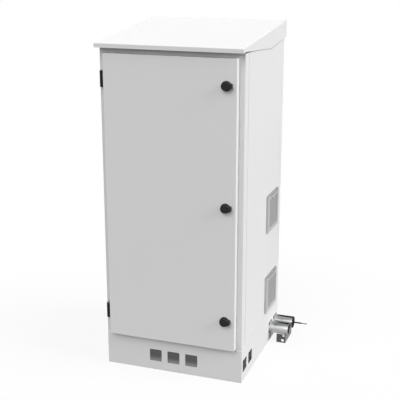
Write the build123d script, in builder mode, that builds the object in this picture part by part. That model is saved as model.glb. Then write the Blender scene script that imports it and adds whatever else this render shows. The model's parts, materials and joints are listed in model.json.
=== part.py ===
from build123d import *
import os
from math import cos, radians, sin

# Cabinet body, from the plinth's footprint up; the origin is the middle of that footprint
width = 600.0
depth = 575.0
body_height = 1202.0
sheet = 2.0
fold = 2.8
overrun = 10.0
seat_gap = 0.3
shaft_gap = 0.05
cover_inset = 1.0

# Plinth
plinth_height = 146.0
plinth_flange = 40.0
cable_square = 54.0
cable_square_corner = 4.0
cable_square_low = 38.0
cable_square_pitch = 80.0
cable_square_inset = 45.0
anchor_hole = 14.0
anchor_inset = 20.0
anchor_spacing = 200.0

# Corner posts and the door frame
post_side = 45.0
post_front = 38.0
post_rear = 43.0
rebate = 22.0
landing = 20.0
panel_gap = 1.3
lip = 16.0
header_height = 28.0
sill_height = 16.0
rail_return = 30.0

# Door
door_margin = 24.0
door_top_gap = 14.0
door_bottom_gap = 1.5
door_proud = 27.0
door_gap = 2.0
door_corner = 5.0
door_edge = 2.4
seal_width = 12.0

# Hinges
hinge_height = 66.0
hinge_knuckle = 20.0
hinge_radius = 8.0
hinge_inset = 13.3
hinge_reach = 13.0
hinge_end_inset = 102.0
hinge_base = 3.0
hinge_pin_radius = 3.0
hinge_pin_head = 1.0
hinge_leaf_depth = 18.0
hinge_edge = 1.5

# Latches
latch_inset = 42.0
latch_top_inset = 102.0
latch_pitch = 477.4
latch_count = 3
knob_radius = 19.3
knob_nose = 25.0
knob_nose_height = 16.0
knob_height = 19.0
knob_skirt = 7.0
knob_edge = 2.5
bush_collar_radius = 15.0
bush_collar = 1.2
bush_radius = 10.8
bush_clearance = 0.2
nut_flats = 27.0
nut_height = 6.0
spindle_radius = 5.0
spindle_square = 7.0
spindle_head_radius = 6.0
spindle_head = 2.0
cam_thickness = 3.0
cam_width = 18.0
cam_reach = 42.0
cam_clearance = 1.0

# Weather hood
roof_front = 42.0
roof_side = 4.0
roof_rear = 23.0
roof_lip = 17.4
roof_lip_rise = 8.2
roof_rise = 51.4
roof_band = 42.0
roof_joint = 1.0
roof_lap = 10.0
roof_edge = 2.4
flap_start = 12.0
flap_start_rise = 2.5
flap_knee_drop = 14.0
flap_knee_place = 346.0
flap_end_rise = 8.0
bearer_width = 30.0
bearer_inset = 70.0
bearer_margin = 60.0

# Filter grilles on the right side
vent_size = 167.0
vent_field = 127.0
vent_rear_inset = 154.5
vent_height = 108.0
vent_pitch = 372.0
vent_flange = 2.0
vent_flange_margin = 1.0
vent_proud = 10.3
cover_bevel = 2.8
grip_height = 10.0
grip_depth = 5.0
vent_cutout = 125.0
vent_wall = 2.5
vent_sleeve_depth = 24.0
vent_lip = 4.0
slat_count = 14
slat_thickness = 2.2
slat_drop = 8.0
slat_inset = 0.8
slat_lap = 0.6
notch_width = 26.0
notch_depth = 13.0
cover_pin_radius = 1.2
cover_pivot_depth = 4.5
lug_width = 9.0
lug_gap = 0.5
lug_inset = 28.0
lug_radius = 2.2
mat_thickness = 14.0

# Fan behind the lower grille
fan_size = 119.0
fan_depth = 38.0
fan_bore = 114.0
fan_corner = 6.0
fan_hub = 50.0
fan_motor_length = 14.0
fan_strut = 8.0
fan_strut_depth = 4.0
rotor_tip_gap = 2.0
rotor_length = 20.0
rotor_shaft_radius = 2.5
rotor_shaft_length = 11.0
blade_count = 7
blade_thickness = 1.8
blade_root_width = 22.0
blade_tip_width = 26.0
blade_root_angle = 50.0
blade_tip_angle = 64.0

# Rack and inner plates
rack_side_room = 21.0
rack_hole_inset = 7.55
rack_hole = 9.5
rack_unit = 44.45
rack_unit_step = 15.875
rack_unit_hole_count = 3
rack_flange = 30.0
upright_depth = 40.0
upright_place = 90.0
rail_height = 30.0
rail_inset = 4.0
gland_length = 350.0
gland_depth = 170.0
gland_lap = 15.0
gland_place = 140.0
grommet_count = 4
grommet_pitch = 80.0
grommet_radius = 26.0
grommet_flange = 4.0
grommet_thickness = 3.0
grommet_dome = 6.0
stud_radius = 4.0
stud_height = 25.0
stud_flats = 13.0
stud_nut = 6.5
stud_inset = 60.0
screw_radius = 3.0
screw_clearance = 0.2
screw_head_radius = 6.0
screw_head = 3.0
screw_end_inset = 60.0

# Conduit stubs and their bracket
conduit_clearance = 1.0
conduit_wall = 2.0
conduit_out = 87.0
conduit_in = 44.0
plug_flange = 2.0
plug_length = 20.0
probe_radius = 3.2
probe_out = 39.0
probe_tip_radius = 2.2
probe_tip = 25.0
bracket_sheet = 3.0
bracket_out = 76.0
bracket_width = 41.0
bracket_before = 17.0
bracket_after = 20.0
bracket_height = 40.0
bracket_saddle = 52.0
bracket_hole = 14.0
bracket_hole_rise = 11.0
bracket_hole_inset = 13.0
bracket_relief = 10.0
bracket_relief_rise = 33.0
bracket_relief_inset = 9.0

# Places that follow from the sizes above
side_x = width / 2
front_y = -depth / 2
rear_y = depth / 2
frame_bottom = plinth_height + sheet
body_top = frame_bottom + body_height
opening_x = side_x - post_front
rear_opening_x = side_x - post_rear
lip_low = frame_bottom + sill_height
lip_high = body_top - header_height
door_front_y = front_y - door_proud
door_back_y = front_y - door_gap
door_bottom = frame_bottom + door_bottom_gap
door_top = body_top - door_top_gap
door_edge_x = side_x - door_margin
door_skin_y = door_front_y + sheet
latch_x = door_edge_x - latch_inset
latch_heights = [door_top - latch_top_inset - latch_pitch * step for step in range(latch_count)]
hinge_x = -side_x + hinge_inset
hinge_y = front_y - hinge_reach
hinge_heights = [door_top - hinge_end_inset, door_bottom + hinge_end_inset]
square_height = cable_square_low + cable_square / 2
front_squares = [cable_square_pitch * step for step in (-1, 0, 1)]
outer_square_y = rear_y - cable_square_inset
inner_square_y = outer_square_y - cable_square_pitch
side_squares = [-outer_square_y, -inner_square_y, inner_square_y, outer_square_y]
vent_y = rear_y - vent_rear_inset
vent_heights = [frame_bottom + vent_height + vent_pitch, frame_bottom + vent_height]
LEVELS = ("upper", "lower")
HANDS = (("left", -1), ("right", 1))

os.makedirs("parts", exist_ok=True)


def keep(piece, name):
    """Label a finished piece and write it under that name."""
    piece.part.label = name
    export_step(piece.part, f"parts/{name}.step")


def fold_radii(points, side):
    """Radius of the drawn line at each fold: the inner one where the sheet lies outside the turn."""
    radii = []
    for before, corner, after in zip(points, points[1:], points[2:]):
        ahead = (corner[0] - before[0], corner[1] - before[1])
        turn = ahead[0] * (after[1] - corner[1]) - ahead[1] * (after[0] - corner[0])
        sheet_inside = (turn > 0) == (side == Side.LEFT)
        radii.append(fold if sheet_inside else fold - sheet)
    return radii


def folded_section(plane, points, side):
    """A strip of sheet folded along a line, drawn as a face on a plane."""
    with BuildSketch(plane) as section:
        with BuildLine():
            FilletPolyline(*points, radius=fold_radii(points, side))
            offset(amount=sheet, side=side)
        make_face()
    return section.sketch


def mirrored(points, sign):
    """Points of a section for the right hand, or turned over for the left."""
    return [(sign * x, y) for x, y in points]


def inner_side(sign, right_hand_side):
    """The side of the fold line that the sheet lies on, for either hand."""
    if sign > 0:
        return right_hand_side
    return Side.RIGHT if right_hand_side == Side.LEFT else Side.LEFT


def square_openings(plane, places):
    """The row of square cable openings in a plinth wall."""
    with BuildSketch(plane) as openings:
        with Locations(*[(place, square_height) for place in places]):
            RectangleRounded(cable_square, cable_square, cable_square_corner)
    return openings.sketch


def rectangle_at(plane, low, high):
    """A rectangle on a plane between two corners."""
    with BuildSketch(plane) as area:
        with Locations(((low[0] + high[0]) / 2, (low[1] + high[1]) / 2)):
            Rectangle(high[0] - low[0], high[1] - low[1])
    return area.sketch


# Plinth: four folded channels with square cable openings
for name, sign in (("front", 1), ("rear", -1)):
    wall_y = sign * front_y
    inner_wall_y = wall_y + sign * sheet
    flange_y = wall_y + sign * plinth_flange
    with BuildPart() as plinth_end:
        extrude(
            folded_section(
                Plane.YZ,
                [(flange_y, 0), (wall_y, 0), (wall_y, plinth_height), (flange_y, plinth_height)],
                inner_side(sign, Side.RIGHT),
            ),
            amount=side_x,
            both=True,
        )
        ends = sorted([inner_wall_y, flange_y + sign * overrun])
        for hand, hand_sign in HANDS:
            reach = sorted([hand_sign * (side_x - sheet), hand_sign * (side_x + overrun)])
            extrude(
                rectangle_at(Plane.XY, (reach[0], ends[0]), (reach[1], ends[1])),
                amount=plinth_height,
                mode=Mode.SUBTRACT,
            )
        extrude(
            square_openings(Plane.XZ.offset(-wall_y), front_squares),
            amount=overrun,
            both=True,
            mode=Mode.SUBTRACT,
        )
    keep(plinth_end, f"plinth_{name}")

for name, sign in HANDS:
    wall_x = sign * side_x
    flange_x = wall_x - sign * plinth_flange
    with BuildPart() as plinth_side:
        extrude(
            folded_section(
                Plane.XZ,
                [(flange_x, 0), (wall_x, 0), (wall_x, plinth_height), (flange_x, plinth_height)],
                inner_side(sign, Side.LEFT),
            ),
            amount=rear_y - sheet,
            both=True,
        )
        reach = sorted([flange_x - sign * overrun, wall_x - sign * sheet])
        for end in (-1, 1):
            ends = sorted([end * (rear_y - plinth_flange), end * rear_y])
            extrude(
                rectangle_at(Plane.XY, (reach[0], ends[0]), (reach[1], ends[1])),
                amount=plinth_height,
                mode=Mode.SUBTRACT,
            )
        extrude(
            square_openings(Plane.YZ.offset(wall_x), side_squares),
            amount=overrun,
            both=True,
            mode=Mode.SUBTRACT,
        )
        with BuildSketch(Plane.XY):
            with Locations((sign * (side_x - anchor_inset), 0)):
                with GridLocations(0, anchor_spacing, 1, 2):
                    Circle(anchor_hole / 2)
        extrude(amount=plinth_height / 2, mode=Mode.SUBTRACT)
    keep(plinth_side, f"plinth_{name}")

# Base plate with its gland plate and membrane grommets
gland_y = rear_y - gland_place
base_plane = Plane.XY.offset(plinth_height)
with BuildPart() as base_plate:
    with BuildSketch(base_plane):
        Rectangle(width - 2 * cover_inset, depth - 2 * cover_inset)
        with Locations((0, gland_y)):
            Rectangle(gland_length - 2 * gland_lap, gland_depth - 2 * gland_lap, mode=Mode.SUBTRACT)
    extrude(amount=sheet)
keep(base_plate, "base_plate")

with BuildPart() as gland_plate:
    with BuildSketch(Plane.XY.offset(frame_bottom)):
        with Locations((0, gland_y)):
            Rectangle(gland_length, gland_depth)
            with GridLocations(grommet_pitch, 0, grommet_count, 1):
                Circle(grommet_radius + seat_gap, mode=Mode.SUBTRACT)
    extrude(amount=sheet)
keep(gland_plate, "gland_plate")

grommet_rim = grommet_radius + grommet_flange
with BuildPart() as cable_grommets:
    with Locations((0, gland_y, frame_bottom)):
        with GridLocations(grommet_pitch, 0, grommet_count, 1):
            Cylinder(grommet_radius, sheet, align=(Align.CENTER, Align.CENTER, Align.MIN))
            Cylinder(grommet_rim, grommet_thickness, align=(Align.CENTER, Align.CENTER, Align.MAX))
    with Locations((0, gland_y, frame_bottom + sheet)):
        with GridLocations(grommet_pitch, 0, grommet_count, 1):
            Cone(grommet_rim, grommet_radius / 2, grommet_dome, align=(Align.CENTER, Align.CENTER, Align.MIN))
keep(cable_grommets, "cable_grommets")

# Corner posts, folded with a rebate that takes the panels' edges
post_plane = Plane.XY.offset(frame_bottom)
strip_y = front_y + post_side
for name, sign in HANDS:
    post_line = [
        (opening_x + sheet, front_y - lip),
        (opening_x + sheet, front_y),
        (side_x, front_y),
        (side_x, strip_y),
        (side_x - rebate, strip_y),
        (side_x - rebate, strip_y + landing),
    ]
    with BuildPart() as post_front_piece:
        extrude(
            folded_section(post_plane, mirrored(post_line, sign), inner_side(sign, Side.LEFT)),
            amount=body_height,
        )
        edges = sorted([sign * (opening_x - overrun), sign * (opening_x + fold + overrun)])
        lip_area = rectangle_at(post_plane, (edges[0], front_y - lip - overrun), (edges[1], front_y))
        extrude(lip_area, amount=sill_height - sheet, mode=Mode.SUBTRACT)
        extrude(
            lip_area.moved(Location((0, 0, body_height))),
            amount=-(header_height - sheet),
            mode=Mode.SUBTRACT,
        )
    keep(post_front_piece, f"post_front_{name}")

screw_x = rear_opening_x - landing / 2
screw_heights = [
    frame_bottom + screw_end_inset,
    frame_bottom + body_height / 2,
    body_top - screw_end_inset,
]
rear_strip_y = rear_y - post_side
for name, sign in HANDS:
    post_line = [
        (rear_opening_x - landing, rear_y - rebate),
        (rear_opening_x, rear_y - rebate),
        (rear_opening_x, rear_y),
        (side_x, rear_y),
        (side_x, rear_strip_y),
        (side_x - rebate, rear_strip_y),
        (side_x - rebate, rear_strip_y - landing),
    ]
    with BuildPart() as post_rear_piece:
        extrude(
            folded_section(post_plane, mirrored(post_line, sign), inner_side(sign, Side.RIGHT)),
            amount=body_height,
        )
        with BuildSketch(Plane.XZ.offset(-(rear_y - rebate))):
            with Locations(*[(sign * screw_x, height) for height in screw_heights]):
                Circle(screw_radius + screw_clearance)
        extrude(amount=overrun, both=True, mode=Mode.SUBTRACT)
    keep(post_rear_piece, f"post_rear_{name}")

# Header and sill of the door frame, with the rain lip turned out around the opening
header_line = [
    (front_y - lip, lip_high + sheet),
    (front_y, lip_high + sheet),
    (front_y, body_top),
    (front_y + rail_return, body_top),
]
with BuildPart() as door_header:
    extrude(folded_section(Plane.YZ, header_line, Side.RIGHT), amount=opening_x, both=True)
keep(door_header, "door_header")

sill_line = [
    (front_y - lip, lip_low - sheet),
    (front_y, lip_low - sheet),
    (front_y, frame_bottom),
    (front_y + rail_return, frame_bottom),
]
with BuildPart() as door_sill:
    extrude(folded_section(Plane.YZ, sill_line, Side.LEFT), amount=opening_x, both=True)
keep(door_sill, "door_sill")

# Side and rear panels, folded as trays that sit in the posts' rebates
panel_length = depth - 2 * post_side - 2 * panel_gap
panel_height = body_height - 2 * cover_inset
panel_middle = frame_bottom + body_height / 2
tray_depth = rebate - seat_gap
for name, sign in HANDS:
    with BuildPart() as side_panel:
        with BuildSketch(Plane.YZ.offset(sign * (side_x - tray_depth))):
            with Locations((0, panel_middle)):
                RectangleRounded(panel_length, panel_height, fold)
        extrude(amount=sign * tray_depth)
        tray_mouth = side_panel.faces().sort_by(Axis.X)[0 if sign > 0 else -1]
        offset(amount=-sheet, openings=tray_mouth)
        if name == "right":
            with BuildSketch(Plane.YZ.offset(side_x)):
                with Locations(*[(vent_y, height) for height in vent_heights]):
                    Rectangle(vent_cutout, vent_cutout)
            extrude(amount=overrun, both=True, mode=Mode.SUBTRACT)
    keep(side_panel, f"side_panel_{name}")

with BuildPart() as rear_panel:
    with BuildSketch(Plane.XZ.offset(-(rear_y - tray_depth))):
        with Locations((0, panel_middle)):
            RectangleRounded(2 * (rear_opening_x - panel_gap), panel_height, fold)
    extrude(amount=-tray_depth)
    offset(amount=-sheet, openings=rear_panel.faces().sort_by(Axis.Y)[0])
    with BuildSketch(Plane.XZ.offset(-rear_y)):
        with Locations(*[(sign * screw_x, height) for _, sign in HANDS for height in screw_heights]):
            Circle(screw_radius + screw_clearance)
    extrude(amount=overrun, both=True, mode=Mode.SUBTRACT)
keep(rear_panel, "rear_panel")

with BuildPart() as rear_panel_screws:
    screw_places = [(sign * screw_x, height) for _, sign in HANDS for height in screw_heights]
    with BuildSketch(Plane.XZ.offset(-rear_y)):
        with Locations(*screw_places):
            Circle(screw_head_radius)
    extrude(amount=-screw_head)
    with BuildSketch(Plane.XZ.offset(-rear_y)):
        with Locations(*screw_places):
            Circle(screw_radius)
    extrude(amount=rebate + sheet)
    head_rims = rear_panel_screws.edges().filter_by(GeomType.CIRCLE).group_by(Axis.Y)[-1]
    chamfer(head_rims, length=screw_head / 3)
keep(rear_panel_screws, "rear_panel_screws")

# Top plate and the two bearers that carry the sloping hood
with BuildPart() as top_plate:
    with BuildSketch(Plane.XY.offset(body_top)):
        Rectangle(width - 2 * cover_inset, depth - 2 * cover_inset)
    extrude(amount=sheet)
keep(top_plate, "top_plate")

roof_front_y = front_y - roof_front
roof_rear_y = rear_y + roof_rear
band_y = roof_rear_y - roof_band
lip_bottom = body_top + roof_lip_rise
roof_front_top = lip_bottom + roof_lip
roof_rear_top = roof_front_top + roof_rise
roof_slope = (roof_rear_top - roof_front_top) / (band_y - roof_front_y)


def hood_underside(y):
    """Height of the underside of the sloping sheet at a place along the depth."""
    return roof_front_top - sheet + roof_slope * (y - roof_front_y)


bearer_bottom = body_top + sheet
bearer_half = side_x - bearer_margin
for name, middle_y in (("front", front_y + bearer_inset), ("rear", rear_y - bearer_inset)):
    first_y = middle_y - bearer_width / 2
    last_y = middle_y + bearer_width / 2
    with BuildPart() as roof_bearer:
        with BuildSketch(Plane.YZ):
            with BuildLine():
                Polyline(
                    (first_y, bearer_bottom),
                    (last_y, bearer_bottom),
                    (last_y, hood_underside(last_y) - seat_gap),
                    (first_y, hood_underside(first_y) - seat_gap),
                    close=True,
                )
            make_face()
            offset(amount=-sheet, kind=Kind.INTERSECTION, mode=Mode.SUBTRACT)
        extrude(amount=bearer_half, both=True)
    keep(roof_bearer, f"roof_bearer_{name}")

# Weather hood: a sloping sheet with a front lip and shaped side flaps, closed behind by a folded band
roof_half = side_x + roof_side
flap_end = body_top + flap_end_rise
with BuildPart() as roof_hood:
    with BuildSketch(Plane.YZ):
        with BuildLine():
            Polyline(
                (roof_front_y, lip_bottom),
                (roof_front_y, roof_front_top),
                (band_y, roof_rear_top),
                (band_y, flap_end),
                (front_y + flap_knee_place, body_top - flap_knee_drop),
                (front_y - flap_start, lip_bottom + flap_start_rise),
                close=True,
            )
        make_face()
    extrude(amount=roof_half, both=True)
    slope_face = roof_hood.faces().sort_by(Axis.Z)[-1]
    fillet(slope_face.edges().filter_by(GeomType.LINE).sort_by(Axis.Y)[:-1], radius=roof_edge)
    flat_faces = roof_hood.faces().filter_by(GeomType.PLANE)
    open_faces = [face for face in flat_faces if face.normal_at().Z < 0]
    open_faces.append(flat_faces.sort_by(Axis.Y)[-1])
    offset(amount=-sheet, openings=open_faces)
keep(roof_hood, "roof_hood")

with BuildPart() as roof_rear_band:
    with BuildSketch(Plane.YZ):
        with Locations(((band_y + roof_joint + roof_rear_y) / 2, (flap_end + roof_rear_top) / 2)):
            Rectangle(roof_band - roof_joint, roof_rear_top - flap_end)
    extrude(amount=roof_half, both=True)
    band_rear = roof_rear_band.faces().sort_by(Axis.Y)[-1]
    fillet(band_rear.edges().filter_by(Axis.Z), radius=fold)
    offset(
        amount=-sheet,
        openings=[roof_rear_band.faces().sort_by(Axis.Y)[0], roof_rear_band.faces().sort_by(Axis.Z)[0]],
    )
    lap_y = band_y - roof_lap
    lap_half = roof_half - sheet
    lap_top = hood_underside(lap_y) - seat_gap
    with BuildSketch(Plane.XZ.offset(-lap_y)):
        with Locations((0, flap_end)):
            Rectangle(2 * lap_half, lap_top - flap_end, align=(Align.CENTER, Align.MIN))
            Rectangle(
                2 * (lap_half - sheet),
                lap_top - sheet - flap_end,
                align=(Align.CENTER, Align.MIN),
                mode=Mode.SUBTRACT,
            )
    extrude(amount=-2 * roof_lap)
keep(roof_rear_band, "roof_rear_band")

# Door, folded as a tray, with its seal against the rain lip
latch_places = [(latch_x, height) for height in latch_heights]
with BuildPart() as door_panel:
    with BuildSketch(Plane.XZ.offset(-door_back_y)):
        with Locations((0, (door_bottom + door_top) / 2)):
            RectangleRounded(2 * door_edge_x, door_top - door_bottom, door_corner)
    extrude(amount=door_back_y - door_front_y)
    fillet(door_panel.faces().sort_by(Axis.Y)[0].edges(), radius=door_edge)
    offset(amount=-sheet, openings=door_panel.faces().sort_by(Axis.Y)[-1])
    with BuildSketch(Plane.XZ.offset(-door_front_y)):
        with Locations(*latch_places):
            Circle(bush_radius + bush_clearance)
    extrude(amount=overrun, both=True, mode=Mode.SUBTRACT)
keep(door_panel, "door_panel")

seal_height = front_y - lip - seat_gap - door_skin_y
lip_height = lip_high - lip_low + 2 * sheet
lip_width = 2 * (opening_x + sheet)
with BuildPart() as door_seal:
    with BuildSketch(Plane.XZ.offset(-door_skin_y)):
        with Locations((0, (lip_low + lip_high) / 2)):
            Rectangle(lip_width + seal_width - sheet, lip_height + seal_width - sheet)
            Rectangle(
                lip_width - seal_width - sheet,
                lip_height - seal_width - sheet,
                mode=Mode.SUBTRACT,
            )
    extrude(amount=-seal_height)
keep(door_seal, "door_seal")

# Hinges: a leaf with two knuckles on the frame, a leaf with one knuckle on the door's edge, and a pin
hinge_axis = (hinge_x, hinge_y)
for level, hinge_z in zip(LEVELS, hinge_heights):
    hinge_low = Plane.XY.offset(hinge_z - hinge_height / 2)
    with BuildPart() as frame_leaf:
        with BuildSketch(hinge_low):
            with Locations(hinge_axis):
                Circle(hinge_radius)
            with Locations((hinge_x, (front_y + hinge_y) / 2)):
                Rectangle(2 * hinge_radius, hinge_reach)
        extrude(amount=hinge_height)
        knuckle_ends = frame_leaf.edges().filter_by(GeomType.CIRCLE)
        fillet(knuckle_ends, radius=hinge_edge)
        gap_low = Plane.XY.offset(hinge_z - hinge_height / 2 + hinge_knuckle)
        extrude(
            rectangle_at(
                gap_low,
                (hinge_x - hinge_radius - overrun, hinge_y - hinge_radius - overrun),
                (hinge_x + hinge_radius + overrun, front_y - hinge_base),
            ),
            amount=hinge_height - 2 * hinge_knuckle,
            mode=Mode.SUBTRACT,
        )
        with BuildSketch(hinge_low):
            with Locations(hinge_axis):
                Circle(hinge_pin_radius + shaft_gap)
        extrude(amount=hinge_height, mode=Mode.SUBTRACT)
    keep(frame_leaf, f"hinge_frame_leaf_{level}")

    leaf_height = hinge_height - 2 * hinge_knuckle - 2 * seat_gap
    leaf_thickness = -door_edge_x - hinge_x - hinge_radius - seat_gap
    with BuildPart() as door_leaf:
        with BuildSketch(Plane.XY.offset(hinge_z - leaf_height / 2)):
            with Locations(hinge_axis):
                Circle(hinge_radius)
            with Locations(((hinge_x - door_edge_x) / 2, hinge_y)):
                Rectangle(-door_edge_x - hinge_x, hinge_radius)
            with Locations((-door_edge_x - leaf_thickness / 2, hinge_y)):
                Rectangle(leaf_thickness, hinge_leaf_depth)
            with Locations(hinge_axis):
                Circle(hinge_pin_radius + shaft_gap, mode=Mode.SUBTRACT)
        extrude(amount=leaf_height)
    keep(door_leaf, f"hinge_door_leaf_{level}")

with BuildPart() as hinge_pins:
    with Locations(*[(hinge_x, hinge_y, hinge_z) for hinge_z in hinge_heights]):
        Cylinder(hinge_pin_radius, hinge_height)
    with Locations(*[(hinge_x, hinge_y, hinge_z + hinge_height / 2) for hinge_z in hinge_heights]):
        Cylinder(
            hinge_pin_radius + hinge_edge,
            hinge_pin_head,
            align=(Align.CENTER, Align.CENTER, Align.MIN),
        )
keep(hinge_pins, "hinge_pins")

# Quarter-turn latches: bush and nut in the door, knob with its spindle, cam behind the frame
collar_y = door_front_y - bush_collar
knob_y = collar_y - seat_gap
nut_y = door_skin_y
cam_y = front_y + sheet + cam_clearance
for level, latch_z in zip(("upper", "middle", "lower"), latch_heights):
    with BuildPart() as latch_bush:
        with BuildSketch(Plane.XZ.offset(-door_front_y)):
            with Locations((latch_x, latch_z)):
                Circle(bush_collar_radius)
        extrude(amount=bush_collar)
        with BuildSketch(Plane.XZ.offset(-door_front_y)):
            with Locations((latch_x, latch_z)):
                Circle(bush_radius)
        extrude(amount=-(nut_y + nut_height + bush_collar - door_front_y))
        with BuildSketch(Plane.XZ.offset(-collar_y)):
            with Locations((latch_x, latch_z)):
                Circle(spindle_radius + shaft_gap)
        extrude(amount=-door_proud, mode=Mode.SUBTRACT)
    keep(latch_bush, f"latch_bush_{level}")

    with BuildPart() as latch_knob:
        with BuildSketch(Plane.XZ.offset(-knob_y)):
            with Locations((latch_x, latch_z)):
                Circle(knob_radius)
        extrude(amount=knob_skirt)
        with BuildSketch(Plane.XZ.offset(-knob_y)):
            with Locations((latch_x, latch_z)):
                Circle(knob_radius - knob_edge)
            with Locations((latch_x + knob_nose - knob_edge, latch_z)):
                Rectangle(2 * knob_edge, knob_nose_height)
            make_hull()
        extrude(amount=knob_height)
        fillet(latch_knob.faces().sort_by(Axis.Y)[0].edges(), radius=knob_edge)
        with BuildSketch(Plane.XZ.offset(-knob_y)):
            with Locations((latch_x, latch_z)):
                Circle(spindle_radius)
        extrude(amount=knob_y - cam_y)
        with BuildSketch(Plane.XZ.offset(-cam_y)):
            with Locations((latch_x, latch_z)):
                Rectangle(spindle_square, spindle_square)
        extrude(amount=-(cam_thickness + seat_gap))
        with BuildSketch(Plane.XZ.offset(-(cam_y + cam_thickness + seat_gap))):
            with Locations((latch_x, latch_z)):
                Circle(spindle_head_radius)
        extrude(amount=-spindle_head)
    keep(latch_knob, f"latch_knob_{level}")

    with BuildPart() as latch_cam:
        with BuildSketch(Plane.XZ.offset(-(cam_y + seat_gap / 2))):
            with Locations((latch_x, latch_z + (cam_reach - cam_width / 2) / 2)):
                Rectangle(cam_width, cam_reach - cam_width / 2)
            with Locations((latch_x, latch_z)):
                Circle(cam_width / 2)
            with Locations((latch_x, latch_z + cam_reach - cam_width / 2)):
                Circle(cam_width / 2)
            with Locations((latch_x, latch_z)):
                Rectangle(spindle_square + 2 * shaft_gap, spindle_square + 2 * shaft_gap, mode=Mode.SUBTRACT)
        extrude(amount=-cam_thickness)
    keep(latch_cam, f"latch_cam_{level}")

with BuildPart() as latch_nuts:
    with BuildSketch(Plane.XZ.offset(-nut_y)):
        with Locations(*latch_places):
            RegularPolygon(nut_flats / 2, 6, major_radius=False)
            Circle(bush_radius + shaft_gap, mode=Mode.SUBTRACT)
    extrude(amount=-nut_height)
keep(latch_nuts, "latch_nuts")

# Filter grilles: a frame through the side panel and a louvred cover that tips out from the top
cover_back_x = side_x + vent_flange + seat_gap
cover_front_x = side_x + vent_proud
cover_depth = cover_front_x - cover_back_x
pivot_x = cover_front_x - cover_pivot_depth
pivot_reach = pivot_x - cover_back_x
sleeve_outer = vent_cutout - 2 * seat_gap
sleeve_inner = sleeve_outer - 2 * vent_wall
sleeve_end_x = side_x - vent_sleeve_depth
slat_pitch = vent_field / slat_count
slat_back_x = cover_back_x + slat_inset
slat_front_x = cover_front_x - slat_inset
for level, vent_z in zip(LEVELS, vent_heights):
    cover_bottom = vent_z - vent_size / 2
    pivot_z = cover_bottom + pivot_reach
    lug_places = [sign * (vent_size / 2 - lug_inset) + vent_y for _, sign in HANDS]
    with BuildPart() as vent_frame:
        with BuildSketch(Plane.YZ.offset(side_x)):
            with Locations((vent_y, vent_z)):
                Rectangle(vent_size - 2 * vent_flange_margin, vent_size - 2 * vent_flange_margin)
        extrude(amount=vent_flange)
        with BuildSketch(Plane.YZ.offset(side_x)):
            with Locations((vent_y, vent_z)):
                Rectangle(sleeve_outer, sleeve_outer)
        extrude(amount=-vent_sleeve_depth)
        with BuildSketch(Plane.YZ.offset(side_x + vent_flange)):
            with Locations((vent_y, vent_z)):
                Rectangle(sleeve_inner, sleeve_inner)
        extrude(amount=-(vent_flange + vent_sleeve_depth - vent_wall), mode=Mode.SUBTRACT)
        with BuildSketch(Plane.YZ.offset(side_x)):
            with Locations((vent_y, vent_z)):
                Rectangle(sleeve_inner - 2 * vent_lip, sleeve_inner - 2 * vent_lip)
        extrude(amount=-(vent_sleeve_depth + overrun), mode=Mode.SUBTRACT)
        with BuildSketch(Plane.XZ.offset(-vent_y)):
            with Locations((pivot_x, pivot_z)):
                Circle(lug_radius)
            with Locations(((side_x + vent_flange + pivot_x) / 2, pivot_z)):
                Rectangle(pivot_x - side_x - vent_flange, 2 * lug_radius)
            with Locations((pivot_x, pivot_z)):
                Circle(cover_pin_radius + shaft_gap, mode=Mode.SUBTRACT)
        lug_half = vent_size / 2 - lug_inset
        extrude(amount=lug_half + lug_width / 2, both=True)
        with BuildSketch(Plane.XZ.offset(-vent_y)):
            with Locations((side_x + vent_flange + vent_proud / 2, pivot_z)):
                Rectangle(vent_proud, vent_proud)
        extrude(amount=lug_half - lug_width / 2, both=True, mode=Mode.SUBTRACT)
    keep(vent_frame, f"vent_frame_{level}")

    with BuildPart() as vent_cover:
        with BuildSketch(Plane.YZ.offset(cover_back_x)):
            with Locations((vent_y, vent_z)):
                Rectangle(vent_size, vent_size)
        extrude(amount=cover_depth)
        chamfer(vent_cover.faces().sort_by(Axis.X)[-1].edges(), length=cover_bevel)
        with BuildSketch(Plane.YZ.offset(cover_back_x)):
            with Locations((vent_y, vent_z)):
                Rectangle(vent_field, vent_field)
        extrude(amount=cover_depth, mode=Mode.SUBTRACT)
        with BuildSketch(Plane.YZ.offset(cover_front_x - grip_depth)):
            with Locations((vent_y, vent_z + vent_size / 2)):
                Rectangle(vent_field, 2 * grip_height)
        extrude(amount=grip_depth, mode=Mode.SUBTRACT)
        bottom_back = vent_cover.edges().filter_by(Axis.Y).group_by(Axis.X)[0].sort_by(Axis.Z)[0]
        fillet(bottom_back, radius=pivot_reach)
        with BuildSketch(Plane.XZ.offset(-vent_y)):
            for step in range(slat_count):
                slat_z = vent_z - vent_field / 2 - slat_lap + slat_pitch * step
                with BuildLine():
                    Polyline(
                        (slat_front_x, slat_z),
                        (slat_front_x, slat_z + slat_thickness),
                        (slat_back_x, slat_z + slat_thickness + slat_drop),
                        (slat_back_x, slat_z + slat_drop),
                        close=True,
                    )
                make_face()
        extrude(amount=vent_field / 2, both=True)
        with BuildSketch(Plane.YZ.offset(slat_back_x)):
            with BuildLine():
                Polyline(
                    (vent_y - notch_width / 2, vent_z + vent_field / 2),
                    (vent_y, vent_z + vent_field / 2 - notch_depth),
                    (vent_y + notch_width / 2, vent_z + vent_field / 2),
                    close=True,
                )
            make_face()
        extrude(amount=cover_front_x - slat_back_x)
        with BuildSketch(Plane.XY.offset(cover_bottom)):
            with Locations(*[(pivot_x + lug_radius + lug_gap, place) for place in lug_places]):
                Rectangle(
                    cover_depth + overrun,
                    lug_width + 2 * lug_gap,
                    align=(Align.MAX, Align.CENTER),
                )
        extrude(amount=pivot_reach + lug_radius + lug_gap, mode=Mode.SUBTRACT)
        with BuildSketch(Plane.XZ.offset(-vent_y)):
            with Locations((pivot_x, pivot_z)):
                Circle(cover_pin_radius)
        extrude(amount=lug_half + lug_width, both=True)
    keep(vent_cover, f"vent_cover_{level}")

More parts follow.
